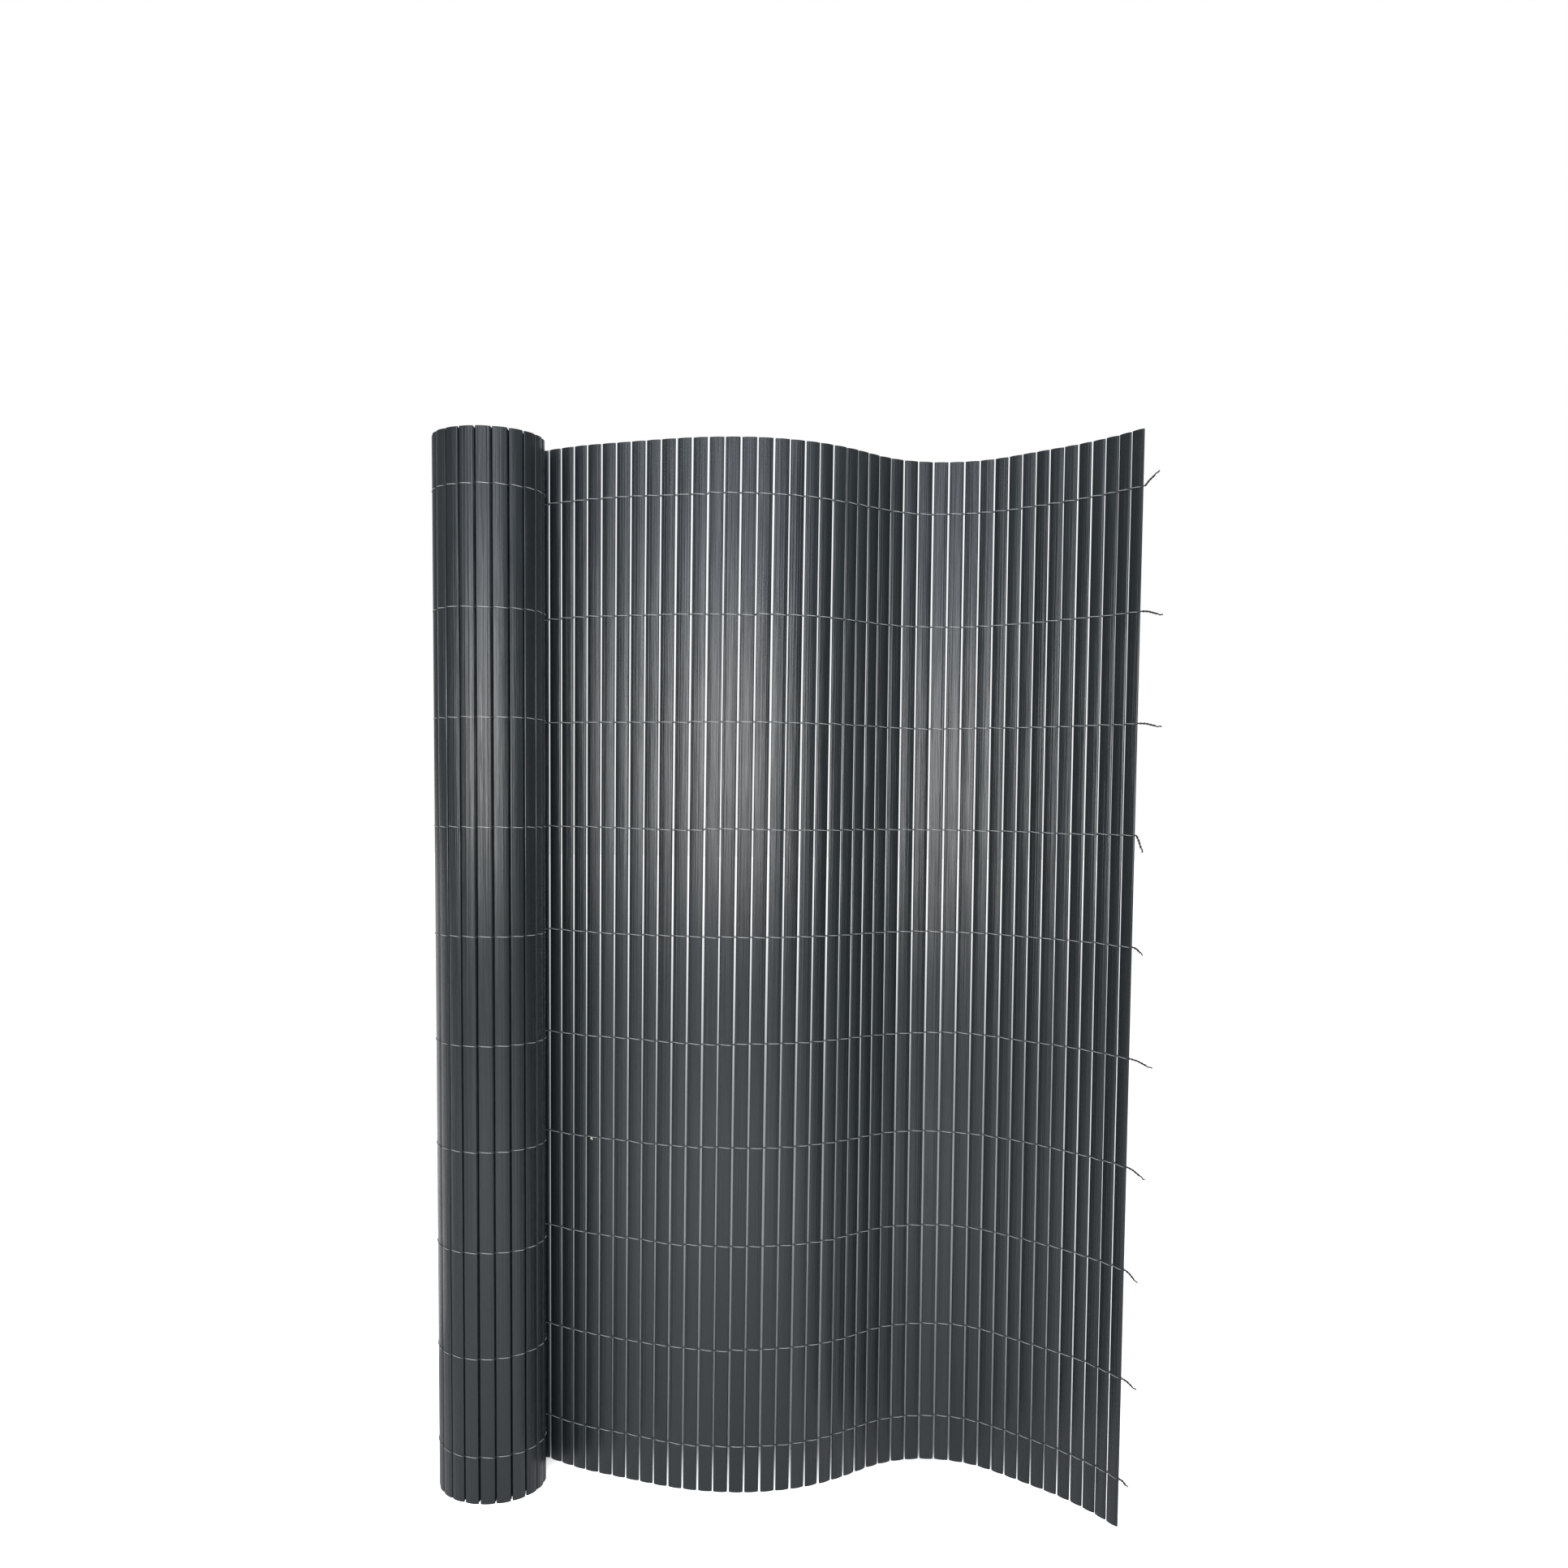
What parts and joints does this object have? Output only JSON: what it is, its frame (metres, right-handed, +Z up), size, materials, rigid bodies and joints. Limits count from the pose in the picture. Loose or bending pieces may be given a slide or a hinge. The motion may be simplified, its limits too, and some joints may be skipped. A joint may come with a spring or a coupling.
{
  "type": "pvc privacy screen",
  "caption": "Freestanding roll-out privacy screen of upright hollow PVC slats bound by rows of twined wire, partly unrolled in a wave beside its roll.",
  "frame": {"origin": "on the floor under the middle of the whole screen as it stands, roll and unrolled stretch together", "axes": "+X to the viewer's right, from the roll towards the free edge; +Y away from the viewer; +Z up along the slats"},
  "size_m": [0.6648, 0.1574, 1],
  "materials": {
    "slat": "satin anthracite with fine lengthwise streaks",
    "wire": "black plastic coating on thin binding wire"
  },
  "bodies": {
    "root": {"roll_turn_1": "slat", "roll_turn_2": "slat", "roll_turn_3": "slat", "roll_turn_4": "slat", "roll_turn_5": "slat", "slat_01": "slat", "slat_02": "slat", "slat_03": "slat", "slat_04": "slat", "slat_05": "slat", "slat_06": "slat", "slat_07": "slat", "slat_08": "slat", "slat_09": "slat", "slat_10": "slat", "slat_11": "slat", "slat_12": "slat", "slat_13": "slat", "slat_14": "slat", "slat_15": "slat", "slat_16": "slat", "slat_17": "slat", "slat_18": "slat", "slat_19": "slat", "slat_20": "slat", "slat_21": "slat", "slat_22": "slat", "slat_23": "slat", "slat_24": "slat", "slat_25": "slat", "slat_26": "slat", "slat_27": "slat", "slat_28": "slat", "slat_29": "slat", "slat_30": "slat", "slat_31": "slat", "slat_32": "slat", "slat_33": "slat", "slat_34": "slat", "slat_35": "slat", "slat_36": "slat", "slat_37": "slat", "slat_38": "slat", "slat_39": "slat", "slat_40": "slat", "slat_41": "slat", "slat_42": "slat", "tie_row_01": "wire", "tie_row_02": "wire", "tie_row_03": "wire", "tie_row_04": "wire", "tie_row_05": "wire", "tie_row_06": "wire", "tie_row_07": "wire", "tie_row_08": "wire", "tie_row_09": "wire", "tie_row_10": "wire"}
  },
  "joints": []
}
